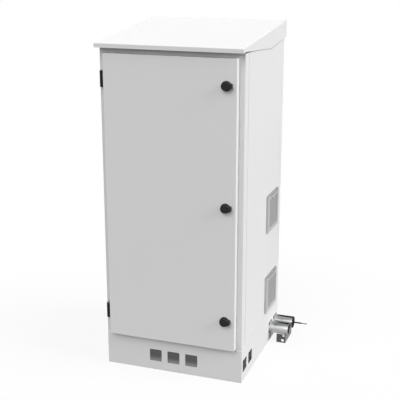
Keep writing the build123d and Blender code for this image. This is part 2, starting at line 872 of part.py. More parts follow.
    with BuildPart() as filter_mat:
        with BuildSketch(Plane.YZ.offset(sleeve_end_x + vent_wall + seat_gap)):
            with Locations((vent_y, vent_z)):
                Rectangle(sleeve_inner - 2 * seat_gap, sleeve_inner - 2 * seat_gap)
        extrude(amount=mat_thickness)
    keep(filter_mat, f"filter_mat_{level}")

# Fan behind the lower grille
fan_z = vent_heights[-1]
fan_plane = Plane.YZ.offset(sleeve_end_x)
fan_back = Plane.YZ.offset(sleeve_end_x - fan_depth)
fan_centre = (vent_y, fan_z)
with BuildPart() as fan_housing:
    with BuildSketch(fan_plane):
        with Locations(fan_centre):
            RectangleRounded(fan_size, fan_size, fan_corner)
            Circle(fan_bore / 2, mode=Mode.SUBTRACT)
    extrude(amount=-fan_depth)
    with BuildSketch(fan_back):
        with Locations(fan_centre):
            Circle(fan_hub / 2)
    extrude(amount=fan_motor_length)
    with BuildSketch(fan_back):
        with Locations(fan_centre):
            Rectangle(fan_bore + overrun / 2, fan_strut)
            Rectangle(fan_strut, fan_bore + overrun / 2)
    extrude(amount=fan_strut_depth)
    with BuildSketch(fan_back):
        with Locations(fan_centre):
            Circle(rotor_shaft_radius + shaft_gap)
    extrude(amount=fan_motor_length, mode=Mode.SUBTRACT)
keep(fan_housing, "fan_housing")

rotor_start_x = sleeve_end_x - fan_depth + fan_motor_length + seat_gap
rotor_middle_x = rotor_start_x + rotor_length / 2
blade_tip = fan_bore / 2 - rotor_tip_gap
blade_root = fan_hub / 2 - blade_thickness
with BuildPart() as fan_rotor:
    with BuildSketch(Plane.YZ.offset(rotor_start_x)):
        with Locations(fan_centre):
            Circle(fan_hub / 2)
    extrude(amount=rotor_length)
    with BuildSketch(Plane.YZ.offset(rotor_start_x)):
        with Locations(fan_centre):
            Circle(rotor_shaft_radius)
    extrude(amount=-rotor_shaft_length)
    for step in range(blade_count):
        turn = radians(360 / blade_count * step)
        radial = Vector(0, cos(turn), sin(turn))
        for reach, chord, pitch in (
            (blade_root, blade_root_width, blade_root_angle),
            (blade_tip, blade_tip_width, blade_tip_angle),
        ):
            centre = Vector(rotor_middle_x, vent_y, fan_z) + radial * reach
            with BuildSketch(Plane(origin=centre, x_dir=(1, 0, 0), z_dir=radial)):
                Rectangle(chord, blade_thickness, rotation=pitch)
        loft()
keep(fan_rotor, "fan_rotor")

# Rack uprights on depth rails
landing_x = side_x - rebate - sheet
upright_x = landing_x - rack_side_room
rack_edge_x = upright_x - rack_flange
upright_y = front_y + upright_place
upright_low = frame_bottom + rail_inset
upright_high = body_top - rail_inset
unit_count = int((upright_high - upright_low) // rack_unit)
first_hole = (rack_unit - (rack_unit_hole_count - 1) * rack_unit_step) / 2
hole_start = (upright_low + upright_high - unit_count * rack_unit) / 2 + first_hole
hole_heights = [
    hole_start + rack_unit * unit + rack_unit_step * step
    for unit in range(unit_count)
    for step in range(rack_unit_hole_count)
]
for name, sign in HANDS:
    upright_line = [
        (rack_edge_x, upright_y),
        (upright_x, upright_y),
        (upright_x, upright_y + upright_depth),
    ]
    with BuildPart() as rack_upright:
        extrude(
            folded_section(
                Plane.XY.offset(upright_low), mirrored(upright_line, sign), inner_side(sign, Side.LEFT)
            ),
            amount=upright_high - upright_low,
        )
        with BuildSketch(Plane.XZ.offset(-upright_y)):
            with Locations(*[(sign * (rack_edge_x + rack_hole_inset), height) for height in hole_heights]):
                Rectangle(rack_hole, rack_hole)
        extrude(amount=overrun, both=True, mode=Mode.SUBTRACT)
    keep(rack_upright, f"rack_upright_{name}")

    for level, rail_low in zip(LEVELS, (upright_high - rail_height, upright_low)):
        rail_line = [
            (landing_x, rail_low),
            (upright_x, rail_low),
            (upright_x, rail_low + rail_height),
            (landing_x, rail_low + rail_height),
        ]
        with BuildPart() as depth_rail:
            extrude(
                folded_section(Plane.XZ, mirrored(rail_line, sign), inner_side(sign, Side.RIGHT)),
                amount=rear_y - post_side,
                both=True,
            )
        keep(depth_rail, f"depth_rail_{level}_{name}")

# Earth stud on the base plate
with BuildPart() as earth_stud:
    with Locations((-side_x + stud_inset, front_y + stud_inset, frame_bottom)):
        Cylinder(stud_radius, stud_height, align=(Align.CENTER, Align.CENTER, Align.MIN))
    with BuildSketch(Plane.XY.offset(frame_bottom)):
        with Locations((-side_x + stud_inset, front_y + stud_inset)):
            RegularPolygon(stud_flats / 2, 6, major_radius=False)
    extrude(amount=stud_nut)
keep(earth_stud, "earth_stud")

# Conduit stubs through the rear cable openings, resting on an angle bracket
conduit_radius = cable_square / 2 - conduit_clearance
conduit_z = cable_square_low + seat_gap + conduit_radius
conduit_start_x = side_x - conduit_in
conduit_end_x = side_x + conduit_out
for name, conduit_y in (("front", inner_square_y), ("rear", outer_square_y)):
    with BuildPart() as conduit:
        with BuildSketch(Plane.YZ.offset(conduit_start_x)):
            with Locations((conduit_y, conduit_z)):
                Circle(conduit_radius)
                Circle(conduit_radius - conduit_wall, mode=Mode.SUBTRACT)
        extrude(amount=conduit_end_x - conduit_start_x)
    keep(conduit, f"conduit_{name}")

with BuildPart() as conduit_plug:
    with BuildSketch(Plane.YZ.offset(conduit_end_x)):
        with Locations((outer_square_y, conduit_z)):
            Circle(conduit_radius)
    extrude(amount=plug_flange)
    chamfer(conduit_plug.edges().filter_by(GeomType.CIRCLE).sort_by(Axis.X)[-1], length=plug_flange / 3)
    with BuildSketch(Plane.YZ.offset(conduit_end_x)):
        with Locations((outer_square_y, conduit_z)):
            Circle(conduit_radius - conduit_wall - shaft_gap)
    extrude(amount=-plug_length)
    with BuildSketch(Plane.YZ.offset(conduit_end_x + plug_flange)):
        with Locations((outer_square_y, conduit_z)):
            Circle(probe_radius + shaft_gap)
    extrude(amount=-(plug_flange + plug_length), mode=Mode.SUBTRACT)
keep(conduit_plug, "conduit_plug")

stem_end_x = conduit_end_x + plug_flange + probe_out
with BuildPart() as probe_stem:
    with BuildSketch(Plane.YZ.offset(conduit_end_x - plug_length)):
        with Locations((outer_square_y, conduit_z)):
            Circle(probe_radius)
    extrude(amount=stem_end_x - conduit_end_x + plug_length)
    fillet(probe_stem.edges().filter_by(GeomType.CIRCLE).sort_by(Axis.X)[-1], radius=probe_radius / 4)
keep(probe_stem, "probe_stem")

with BuildPart() as probe_tip_rod:
    with BuildSketch(Plane.YZ.offset(stem_end_x)):
        with Locations((outer_square_y, conduit_z)):
            Circle(probe_tip_radius)
    extrude(amount=probe_tip)
    fillet(probe_tip_rod.edges().filter_by(GeomType.CIRCLE).sort_by(Axis.X)[-1], radius=probe_tip_radius / 2)
keep(probe_tip_rod, "probe_tip")

bracket_x = side_x + bracket_out
bracket_front_y = inner_square_y - bracket_before
bracket_rear_y = outer_square_y + bracket_after
with BuildPart() as conduit_bracket:
    with BuildSketch(Plane.YZ.offset(bracket_x)):
        with Locations(((bracket_front_y + bracket_rear_y) / 2, bracket_saddle / 2)):
            Rectangle(bracket_rear_y - bracket_front_y, bracket_saddle)
        with Locations((inner_square_y, conduit_z), (outer_square_y, conduit_z)):
            Circle(conduit_radius + seat_gap, mode=Mode.SUBTRACT)
    extrude(amount=-bracket_sheet)
    with BuildSketch(Plane.XZ.offset(-bracket_front_y)):
        with Locations((bracket_x - bracket_width / 2, bracket_height / 2)):
            Rectangle(bracket_width, bracket_height)
        with Locations((bracket_x - bracket_hole_inset, bracket_hole_rise)):
            Circle(bracket_hole / 2, mode=Mode.SUBTRACT)
        with Locations((bracket_x - bracket_relief_inset, bracket_relief_rise)):
            Circle(bracket_relief / 2, mode=Mode.SUBTRACT)
    extrude(amount=-bracket_sheet)
    extrude(
        rectangle_at(
            Plane.YZ.offset(bracket_x),
            (bracket_front_y - overrun, bracket_height),
            (inner_square_y, bracket_saddle + overrun),
        ),
        amount=-bracket_sheet,
        mode=Mode.SUBTRACT,
    )
keep(conduit_bracket, "conduit_bracket")
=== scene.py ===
"""Looks of the roadside utility cabinet: finishes, small fasteners and seals, studio light, camera."""
import json
from math import radians

import bpy
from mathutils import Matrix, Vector


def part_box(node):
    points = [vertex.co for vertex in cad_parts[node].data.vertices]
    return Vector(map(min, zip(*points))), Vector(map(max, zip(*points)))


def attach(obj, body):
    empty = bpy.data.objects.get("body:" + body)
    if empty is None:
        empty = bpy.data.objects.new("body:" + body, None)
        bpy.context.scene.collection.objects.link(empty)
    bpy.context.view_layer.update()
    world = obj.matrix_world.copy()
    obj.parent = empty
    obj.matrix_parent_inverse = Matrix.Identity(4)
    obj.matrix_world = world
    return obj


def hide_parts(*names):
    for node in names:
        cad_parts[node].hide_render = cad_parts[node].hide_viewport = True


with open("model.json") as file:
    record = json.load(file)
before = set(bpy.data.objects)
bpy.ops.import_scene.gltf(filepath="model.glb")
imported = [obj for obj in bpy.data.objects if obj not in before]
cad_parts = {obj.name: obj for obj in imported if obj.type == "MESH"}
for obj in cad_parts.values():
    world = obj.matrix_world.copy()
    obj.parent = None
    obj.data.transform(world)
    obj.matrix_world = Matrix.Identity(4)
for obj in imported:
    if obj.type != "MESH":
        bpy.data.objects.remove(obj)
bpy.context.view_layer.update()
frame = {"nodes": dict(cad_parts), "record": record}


class Tone:
    """One output of a tree's nodes. Sums with it add Math nodes, and node() adds any other kind."""

    def __init__(self, socket):
        self.socket = socket

    def node(self, kind, settings=None, inputs=None, output=0):
        """A new node in the same tree: its settings first, then what its sockets hold or are fed."""
        tree = self.socket.id_data
        made = tree.nodes.new(kind)
        for name, value in (settings or {}).items():
            if name == "stops":
                ramp = made.color_ramp
                while len(ramp.elements) < len(value):
                    ramp.elements.new(1.0)
                for element, (place, shade) in zip(ramp.elements, value):
                    element.position = place
                    element.color = grey(shade)
            else:
                setattr(made, name, value)
        for name, value in (inputs or {}).items():
            socket = find_socket(made.inputs, name)
            if isinstance(value, Tone):
                tree.links.new(value.socket, socket)
            else:
                socket.default_value = value
        return Tone(find_socket(made.outputs, output))

    def maths(self, operation, first, second=0.0):
        """A Math node on one value or two."""
        return self.node("ShaderNodeMath", {"operation": operation}, {0: first, 1: second})

    def __add__(self, other):
        return self.maths("ADD", self, other)

    def __radd__(self, other):
        return self.maths("ADD", other, self)

    def __sub__(self, other):
        return self.maths("SUBTRACT", self, other)

    def __rsub__(self, other):
        return self.maths("SUBTRACT", other, self)

    def __mul__(self, other):
        return self.maths("MULTIPLY", self, other)

    def __rmul__(self, other):
        return self.maths("MULTIPLY", other, self)


def find_socket(sockets, name):
    """A socket by its number, identifier or name."""
    if isinstance(name, int):
        return sockets[name]
    return next(socket for socket in sockets if name in (socket.identifier, socket.name))


def start_finish(name):
    """A new material, its shader, and the place on the cabinet that its patterns are read from."""
    material = bpy.data.materials.new(name)
    material.use_nodes = True
    nodes = material.node_tree.nodes
    return material, nodes["Principled BSDF"], Tone(nodes.new("ShaderNodeTexCoord").outputs["Object"])


def feed(shader, name, tone):
    """Link a tone to one of the shader's sockets."""
    tone.socket.id_data.links.new(tone.socket, shader.inputs[name])


def grey(shade, tint=0.0):
    """A colour of one shade, a little cool where the tint is above zero and warm below."""
    return (shade * (1 - tint), shade, shade * (1 + tint), 1.0)


def along(place, axis):
    """How far the place lies along X, Y or Z."""
    return place.node("ShaderNodeSeparateXYZ", None, {"Vector": place}, axis)


def facing_along(place, axis):
    """How far the surface at the place faces along X, Y or Z."""
    return along(place.node("ShaderNodeTexCoord", None, None, "Normal"), axis)


def stretched(place, scale):
    """The place with each axis drawn out, so that a pattern runs along one of them."""
    return place.node("ShaderNodeVectorMath", {"operation": "MULTIPLY"}, {0: place, 1: scale})


def grain(place, per_metre, detail=2.0, output="Fac"):
    """Soft noise with so many features to the metre."""
    inputs = {"Vector": place, "Scale": per_metre, "Detail": detail}
    return place.node("ShaderNodeTexNoise", None, inputs, output)


def cells(place, per_metre, output):
    """Cells with so many to the metre."""
    return place.node("ShaderNodeTexVoronoi", None, {"Vector": place, "Scale": per_metre}, output)


def spread(tone, low, high):
    """A tone with its middle stretched over the whole range, from low to high."""
    return tone.node("ShaderNodeValToRGB", {"stops": [(low, 0.0), (high, 1.0)]}, {"Fac": tone}, "Color")


def between(factor, first, second):
    """A colour between two."""
    inputs = {"Factor_Float": factor, "A_Color": first, "B_Color": second}
    return factor.node("ShaderNodeMix", {"data_type": "RGBA"}, inputs, "Result_Color")


def darkened(tone, amount):
    """A colour with some of its light taken away."""
    return between(amount, tone, grey(0.0))


def unsigned(tone):
    """The tone without its sign."""
    return tone.maths("ABSOLUTE", tone)


def above_zero(tone):
    """The tone where it is above zero, and zero elsewhere."""
    return tone.maths("MAXIMUM", tone, 0.0)


def at_most(tone, limit):
    """The tone where it is below a limit, and the limit elsewhere."""
    return tone.maths("MINIMUM", tone, limit)


def beyond(tone, limit):
    """One where the tone is above a limit, and zero elsewhere."""
    return tone.maths("GREATER_THAN", tone, limit)


def within(tone, middle, reach):
    """One where the tone is within that reach of a value, and zero elsewhere."""
    return tone.node("ShaderNodeMath", {"operation": "COMPARE"}, {0: tone, 1: middle, 2: reach})


def relief(shader, height, strength, depth):
    """Fine relief on the surface, of that depth in metres."""
    inputs = {"Height": height, "Strength": strength, "Distance": depth}
    feed(shader, "Normal", height.node("ShaderNodeBump", None, inputs, "Normal"))


# White paint: how far off a face still counts as on it, and how much the painted shade beside the door and
# the painted shadow below the hood's flaps take away
FACE_MARGIN = 0.001
FRAME_PAINTED_SHADE = 0.12
FLAP_SHADOW_DARKNESS = 0.26
FLAP_SHADOW_REACH = 0.011
FLAP_SHADOW_FADE = 0.006


def painted_frame_shade(place, frame_y, door_low, door_high):
    """Where shade is painted: one on the strips of frame beside the door, and zero elsewhere."""
    beside_door = beyond(unsigned(along(place, "X")), door_high.x)
    door_middle = (door_low.z + door_high.z) / 2
    door_reach = (door_high.z - door_low.z) / 2
    on_frame = within(along(place, "Y"), frame_y, FACE_MARGIN)
    at_door = within(along(place, "Z"), door_middle, door_reach)
    forwards = above_zero(facing_along(place, "Y") * -1.0)
    return forwards * beside_door * on_frame * at_door


def flap_painted_shadow(place, side_x, knee, flap_end):
    """Painted shadow on the sides just below the hood's flaps, from their knee to their rear end."""
    on_side = within(unsigned(along(place, "X")), side_x, FACE_MARGIN)
    past_knee = along(place, "Y") - knee.y
    slope = (flap_end.z - knee.z) / (flap_end.y - knee.y)
    below_edge = knee.z + slope * past_knee - along(place, "Z")
    painted_shade_share = at_most(above_zero(FLAP_SHADOW_REACH - below_edge) * (1 / FLAP_SHADOW_FADE), 1.0)
    return painted_shade_share * on_side * beyond(past_knee, 0.0)


def powder_coat(name, shade, frame_shape, flap_shape):
    """White powder coat: fine orange peel, a slow change of tone, and painted shade on the frame strips
    beside the door and below the hood's flaps.
    """
    material, shader, place = start_finish(name)
    cloud = spread(grain(place, 2.4, 3.0), 0.3, 0.7)
    peel = grain(place, 620.0, 1.0)
    speck = grain(place, 2300.0, 0.0)
    mottle = cloud * 0.6 + peel * 0.4
    coat = between(mottle, grey(shade - 0.012), grey(shade + 0.012, -0.002))
    # Painted shade: the front faces of the frame strips beside the door are darkened, as if in shade
    # behind the door's face
    painted_shading = painted_frame_shade(place, *frame_shape) * FRAME_PAINTED_SHADE
    # Painted shadow: a dark band on the side panels just below the hood's flaps, where their shadow falls
    flap_shadow = flap_painted_shadow(place, *flap_shape) * FLAP_SHADOW_DARKNESS
    feed(shader, "Base Color", darkened(coat, painted_shading + flap_shadow))
    feed(shader, "Roughness", 0.52 + 0.1 * cloud + 0.08 * peel)
    relief(shader, peel + 0.3 * speck, 0.12, 0.00012)
    shader.inputs["Specular IOR Level"].default_value = 0.3
    return material


# Zinc sheet: how much darker and rougher its rim is
RIM_DARKNESS = 0.5
RIM_ROUGHNESS = 0.4


def galvanised(name, shade, rim_x):
    """Zinc-coated sheet, with the flat crystals that the zinc sets in, and dull at its side rims."""
    material, shader, place = start_finish(name)
    warp = grain(place, 40.0, 2.0, "Color")
    bend = {0: warp, 1: (0.02, 0.02, 0.02), 2: place}
    bent = place.node("ShaderNodeVectorMath", {"operation": "MULTIPLY_ADD"}, bend)
    colours = cells(bent, 75.0, "Color")
    crystal = colours.node("ShaderNodeSeparateColor", None, {"Color": colours}, "Red")
    fine = grain(place, 900.0, 3.0)
    mottle = crystal * 0.7 + fine * 0.3
    rim = beyond(unsigned(along(place, "X")), rim_x)
    zinc = between(mottle, grey(shade - 0.09, 0.01), grey(shade + 0.05, 0.014))
    feed(shader, "Base Color", darkened(zinc, rim * RIM_DARKNESS))
    feed(shader, "Roughness", 0.3 + 0.16 * crystal + 0.1 * fine + RIM_ROUGHNESS * rim)
    relief(shader, crystal * 0.4 + fine, 0.1, 0.0001)
    shader.inputs["Metallic"].default_value = 1.0
    return material


def drawn_steel(name, shade, scale, rough):
    """Bright metal with fine lines along the way that it was drawn, turned or brushed."""
    material, shader, place = start_finish(name)
    lines = grain(stretched(place, scale), 1.0, 3.0)
    cloud = grain(place, 30.0, 2.0)
    mottle = lines * 0.6 + cloud * 0.4
    feed(shader, "Base Color", between(mottle, grey(shade - 0.06, 0.008), grey(shade + 0.05, 0.008)))
    feed(shader, "Roughness", rough - 0.05 + 0.1 * lines + 0.06 * cloud)
    relief(shader, lines, 0.06, 0.00006)
    shader.inputs["Metallic"].default_value = 1.0
    return material


# Painted reflection on the tubes, darker where they face up or down in place of the darker things they
# would reflect: how level a face has to be for it, how it grows from there, and what it adds up to
TOP_FROM = 0.5
TOP_GROWTH = 1.1
TOP_SHARE_AT_WALL = 0.45
TOP_SHARE_PER_METRE = 6.0
UNDERSIDE_FROM = 0.28
UNDERSIDE_GROWTH = 0.9
UNDERSIDE_MOST = 0.36
TIP_DARKNESS = 0.65


def tube_with_painted_reflection(name, shade, scale, rough, wall_x, tip_x):
    """Bright drawn tube, with painted reflection shade on what faces up or down, and a slim tip that is
    darker all over.
    """
    material, shader, place = start_finish(name)
    lines = grain(stretched(place, scale), 1.0, 3.0)
    cloud = grain(place, 30.0, 2.0)
    mottle = lines * 0.8 + cloud * 0.2
    upwards = facing_along(place, "Z")
    across = along(place, "X")
    top_share = TOP_SHARE_AT_WALL + above_zero(across - wall_x) * TOP_SHARE_PER_METRE
    # Painted reflection: the base colour is darkened where the tube faces up and where it faces down, more
    # weakly near the wall
    on_top = above_zero(upwards - TOP_FROM) * TOP_GROWTH * top_share
    on_underside = at_most(above_zero(UNDERSIDE_FROM - upwards) * UNDERSIDE_GROWTH, UNDERSIDE_MOST)
    steel = between(mottle, grey(shade - 0.05, 0.008), grey(shade + 0.04, 0.008))
    reflection_shaded = darkened(steel, on_top + on_underside)
    feed(shader, "Base Color", darkened(reflection_shaded, beyond(across, tip_x) * TIP_DARKNESS))
    feed(shader, "Roughness", rough - 0.05 + 0.1 * lines + 0.03 * cloud)
    relief(shader, lines, 0.06, 0.00006)
    shader.inputs["Metallic"].default_value = 1.0
    return material


def dull_zinc(name, shade):
    """Dark zinc plate on the bracket: satin grey with pale bloom, and painted shade on what faces up."""
    material, shader, place = start_finish(name)
    bloom = spread(grain(place, 70.0, 4.0), 0.35, 0.7)
    fine = grain(place, 1400.0, 2.0)
    zinc = between(bloom * 0.6 + fine * 0.4, grey(shade * 0.82), grey(shade * 1.2, 0.01))
    # Painted shade: what faces up is darkened, as in the shadow under the tubes
    feed(shader, "Base Color", darkened(zinc, above_zero(facing_along(place, "Z")) * 0.8))
    feed(shader, "Roughness", 0.28 + 0.12 * bloom)
    relief(shader, fine + 0.5 * bloom, 0.12, 0.0001)
    shader.inputs["Specular IOR Level"].default_value = 0.6
    return material


def moulded(name, shade, per_metre, rough, gloss):
    """Moulded plastic or rubber with an even spark-eroded grain."""
    material, shader, place = start_finish(name)
    pits = cells(place, per_metre, "Distance")
    fine = grain(place, per_metre * 1.7, 2.0)
    cloud = grain(place, 24.0, 3.0)
    mottle = cloud * 0.5 + fine * 0.5
    feed(shader, "Base Color", between(mottle, grey(shade * 0.9), grey(shade * 1.1)))
    feed(shader, "Roughness", rough - 0.06 + 0.08 * cloud + 0.08 * fine)
    relief(shader, pits + 0.5 * fine, 0.2, 0.0001)
    shader.inputs["Specular IOR Level"].default_value = gloss
    return material


def louvre_plastic(name, shade, inner_painted_shade, face_x):
    """Grey grille moulding: clean in front, with painted shade behind its face and on what faces up."""
    material, shader, place = start_finish(name)
    pits = cells(place, 1100.0, "Distance")
    fine = grain(place, 1900.0, 2.0)
    cloud = grain(place, 24.0, 3.0)
    across = along(place, "X")
    sheltered = 1.0 - above_zero(facing_along(place, "Y") * -1.0)
    # Painted shade: surfaces behind the face, other than those facing front, take the darker inner tone
    shaded_behind = across.maths("LESS_THAN", across, face_x) * sheltered
    # Painted shade on what faces up, in place of the shade between the slats
    painted_shade_share = above_zero(facing_along(place, "Z")) * (0.7 + 0.6 * cloud)
    painted_shading = between(shaded_behind, grey(shade, 0.004), grey(inner_painted_shade, 0.004))
    feed(shader, "Base Color", between(painted_shade_share * 0.4 + fine * 0.1, painted_shading, grey(inner_painted_shade * 0.3)))
    feed(shader, "Roughness", 0.46 + 0.08 * cloud + 0.12 * shaded_behind)
    relief(shader, pits + 0.5 * fine, 0.2, 0.0001)
    shader.inputs["Specular IOR Level"].default_value = 0.4
    return material


def ribbed_membrane(name, shade, pitch, row_y):
    """Thin rubber membranes in a row, each with raised rings around its middle to cut along."""
    material, shader, place = start_finish(name)
    across = along(place, "X")
    from_middle = across.maths("FLOORED_MODULO", across, pitch) - pitch / 2
    away = along(place, "Y") - row_y
    squares = from_middle * from_middle + away * away
    radius = squares.maths("SQRT", squares)
    rings = radius.maths("SINE", radius * 1250.0)
    fine = grain(place, 1800.0, 2.0)
    bloom = grain(place, 45.0, 3.0)
    feed(shader, "Base Color", between(bloom * 0.7 + fine * 0.3, grey(shade * 0.8), grey(shade * 1.5)))
    feed(shader, "Roughness", 0.6 + 0.2 * bloom)
    relief(shader, rings + 0.3 * fine, 0.6, 0.0006)
    return material


def fleece(name, shade):
    """Open filter fleece: crossed fibres with dark pores between them."""
    material, shader, place = start_finish(name)
    upright = grain(stretched(place, (900.0, 900.0, 90.0)), 1.0, 4.0)
    level = grain(stretched(place, (900.0, 90.0, 900.0)), 1.0, 4.0)
    fibre = spread(upright.maths("MAXIMUM", upright, level), 0.4, 0.7)
    feed(shader, "Base Color", between(fibre, grey(shade * 0.55, -0.02), grey(shade, -0.015)))
    relief(shader, fibre, 0.6, 0.0008)
    shader.inputs["Roughness"].default_value = 0.95
    shader.inputs["Sheen Weight"].default_value = 0.25
    return material


def turned_brass(name):
    """Turned brass with a fine thread around the upright axis."""
    material, shader, place = start_finish(name)
    rings = {"wave_type": "BANDS", "bands_direction": "Z", "wave_profile": "TRI"}
    thread = place.node("ShaderNodeTexWave", rings, {"Vector": place, "Scale": 40.0}, "Fac")
    cloud = grain(place, 120.0, 3.0)
    feed(shader, "Base Color", between(cloud, (0.62, 0.44, 0.19, 1.0), (0.8, 0.62, 0.32, 1.0)))
    feed(shader, "Roughness", 0.22 + 0.2 * cloud)
    relief(shader, thread, 0.5, 0.0005)
    shader.inputs["Metallic"].default_value = 1.0
    return material


# Places on the cabinet that the finishes need
FLAP_KNEE_PLACE = 0.346
RIM_DEPTH = 0.001
GROMMET_PITCH = 0.08
GRILLE_FACE_DEPTH = 0.0004
plinth_low, plinth_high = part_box("plinth_front")
hood_low, hood_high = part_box("roof_hood")
flap_knee = Vector((0.0, plinth_low.y + FLAP_KNEE_PLACE, hood_low.z))
flap_end = Vector((0.0, hood_high.y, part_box("roof_rear_band")[0].z))
frame_strips = (plinth_low.y, *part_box("door_panel"))
flap_edge = (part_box("side_panel_right")[1].x, flap_knee, flap_end)
plate_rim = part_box("base_plate")[1].x - RIM_DEPTH
grommets_low, grommets_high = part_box("cable_grommets")
grommet_row = (grommets_low.y + grommets_high.y) / 2
grille_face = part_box("vent_cover_upper")[1].x - GRILLE_FACE_DEPTH
wall_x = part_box("plinth_right")[1].x
tip_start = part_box("probe_tip")[0].x

# Finishes, by the material slots that the pieces carry
finishes = {
    "white_paint": powder_coat("white_powder_coat", 0.86, frame_strips, flap_edge),
    "zinc_sheet": galvanised("zinc_sheet", 0.6, plate_rim),
    "rubber": moulded("black_rubber", 0.02, 1500.0, 0.85, 0.12),
    "membrane_rubber": ribbed_membrane("ribbed_membrane", 0.022, GROMMET_PITCH, grommet_row),
    "zinc_fastener": drawn_steel("bright_zinc", 0.62, (500.0, 500.0, 500.0), 0.3),
    "black_plastic": moulded("black_moulding", 0.028, 1300.0, 0.55, 0.1),
    "black_hinge": moulded("black_hinge_coat", 0.008, 1900.0, 0.42, 0.2),
    "steel_pin": drawn_steel("ground_steel", 0.52, (60.0, 60.0, 2500.0), 0.28),
    "grey_plastic": louvre_plastic("grey_grille", 0.57, 0.42, grille_face),
    "filter_fleece": fleece("filter_fleece", 0.72),
    "brass": turned_brass("turned_brass"),
    "stainless": tube_with_painted_reflection("polished_tube", 0.66, (25.0, 1600.0, 1600.0), 0.24, wall_x, tip_start),
    "bracket_steel": dull_zinc("dull_zinc_bracket", 0.09),
}
for subpart in frame["record"]["subparts"]:
    node = frame["nodes"][subpart["node"]]
    for holder in node.material_slots:
        holder.material = finishes[subpart["material_slot"]]


# Small pieces that the solids leave to the looks
SMOOTH_BELOW = radians(35.0)


def pick(*pieces):
    """Select these pieces and nothing else, with the first one active."""
    bpy.ops.object.select_all(action="DESELECT")
    for piece in pieces:
        piece.select_set(True)
    bpy.context.view_layer.objects.active = pieces[0]


def drum(sides, radius, length, middle, facing):
    """A round or many-sided bar with its axis along one direction."""
    bpy.ops.object.select_all(action="DESELECT")
    turn = facing.to_track_quat("Z", "Y").to_euler()
    bpy.ops.mesh.primitive_cylinder_add(
        vertices=sides, radius=radius, depth=length, location=middle, rotation=turn
    )
    bpy.ops.object.transform_apply(location=True, rotation=True, scale=True)
    return bpy.context.object


def block(size, middle):
    """A square-edged block."""
    bpy.ops.object.select_all(action="DESELECT")
    bpy.ops.mesh.primitive_cube_add(size=1.0, location=middle, scale=size)
    bpy.ops.object.transform_apply(location=True, rotation=True, scale=True)
    return bpy.context.object


def combine(piece, tool, operation):
    """Join a second shape to a piece, or cut it out, and clear the second shape away."""
    pick(piece)
    change = piece.modifiers.new("combine", "BOOLEAN")
    change.operation = operation
    change.object = tool
    bpy.ops.object.modifier_apply(modifier=change.name)
    bpy.data.objects.remove(tool)


def bevel_edges(piece, width, segments, chosen):
    """Round the edges that the chosen test picks by their two ends."""
    pick(piece)
    bpy.ops.object.mode_set(mode="EDIT")
    bpy.ops.mesh.select_mode(type="EDGE")
    bpy.ops.mesh.select_all(action="DESELECT")
    bpy.ops.object.mode_set(mode="OBJECT")
    corners = [vertex.co for vertex in piece.data.vertices]
    for edge in piece.data.edges:
        edge.select = chosen(*[corners[index] for index in edge.vertices])
    bpy.ops.object.mode_set(mode="EDIT")
    bpy.ops.mesh.bevel(offset=width, segments=segments)
    bpy.ops.object.mode_set(mode="OBJECT")


def finish_piece(name, pieces, slot):
    """Join copies into one named piece that is fixed to the cabinet, with the finish of its slot."""
    pick(*pieces)
    bpy.ops.object.join()
    whole = bpy.context.object
    whole.name = name
    whole.data.name = name
    whole.data.materials.clear()
    whole.data.materials.append(finishes[slot])
    bpy.ops.object.shade_smooth_by_angle(angle=SMOOTH_BELOW)
    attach(whole, "cabinet")
    return whole


def copies(piece, places):
    """The piece, modelled at the first place, and a copy with its own mesh at each of the others."""
    made = [piece]
    for place in places[1:]:
        pick(piece)
        bpy.ops.object.duplicate(linked=False)
        bpy.ops.transform.translate(value=place - places[0])
        bpy.ops.object.transform_apply(location=True, rotation=True, scale=True)
        made.append(bpy.context.object)
    return made


# Screws: how many sides their rounds have, and how many steps their rims
HEAD_SIDES = 40
SHANK_SIDES = 24
SOCKET_SIDES = 6
RIM_STEPS = 3


def socket_screw(seat, facing, radius, height, shank_radius, shank_length):
    """A screw seated at a place: a head with a rounded rim and a hexagon socket, on a plain shank."""
    top = seat + facing * height
    near_rim = height / 10
    head = drum(HEAD_SIDES, radius, height, seat + facing * height / 2, facing)
    bevel_edges(
        head,
        height / 3,
        RIM_STEPS,
        lambda *ends: all(top.dot(facing) - end.dot(facing) < near_rim for end in ends),
    )
    shank_start = height / 3
    shank_middle = seat + facing * (shank_start - shank_length) / 2
    shank = drum(SHANK_SIDES, shank_radius, shank_start + shank_length, shank_middle, facing)
    combine(head, shank, "UNION")
    combine(head, drum(SOCKET_SIDES, radius / 2, height, top, facing), "DIFFERENCE")
    return head


# Rear panel screws, with their sockets
OUT_BACK = Vector((0.0, 1.0, 0.0))
REAR_HEAD_RADIUS = 0.006
REAR_HEAD_HEIGHT = 0.003
REAR_SHANK_RADIUS = 0.003
screws_low, screws_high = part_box("rear_panel_screws")
rear_seat = screws_high.y - REAR_HEAD_HEIGHT
rear_shank_length = rear_seat - screws_low.y
screw_columns = (screws_low.x + REAR_HEAD_RADIUS, screws_high.x - REAR_HEAD_RADIUS)
screw_rows = (
    screws_low.z + REAR_HEAD_RADIUS,
    (screws_low.z + screws_high.z) / 2,
    screws_high.z - REAR_HEAD_RADIUS,
)
rear_places = [Vector((x, rear_seat, z)) for x in screw_columns for z in screw_rows]
rear_screw = socket_screw(
    rear_places[0], OUT_BACK, REAR_HEAD_RADIUS, REAR_HEAD_HEIGHT, REAR_SHANK_RADIUS, rear_shank_length
)
rear_screws = finish_piece("rear_panel_socket_screws", copies(rear_screw, rear_places), "zinc_fastener")
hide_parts("rear_panel_screws")

# Small screws of one size: head radius and height, shank radius and length
SMALL_SCREW = (0.0042, 0.0024, 0.002, 0.0015)

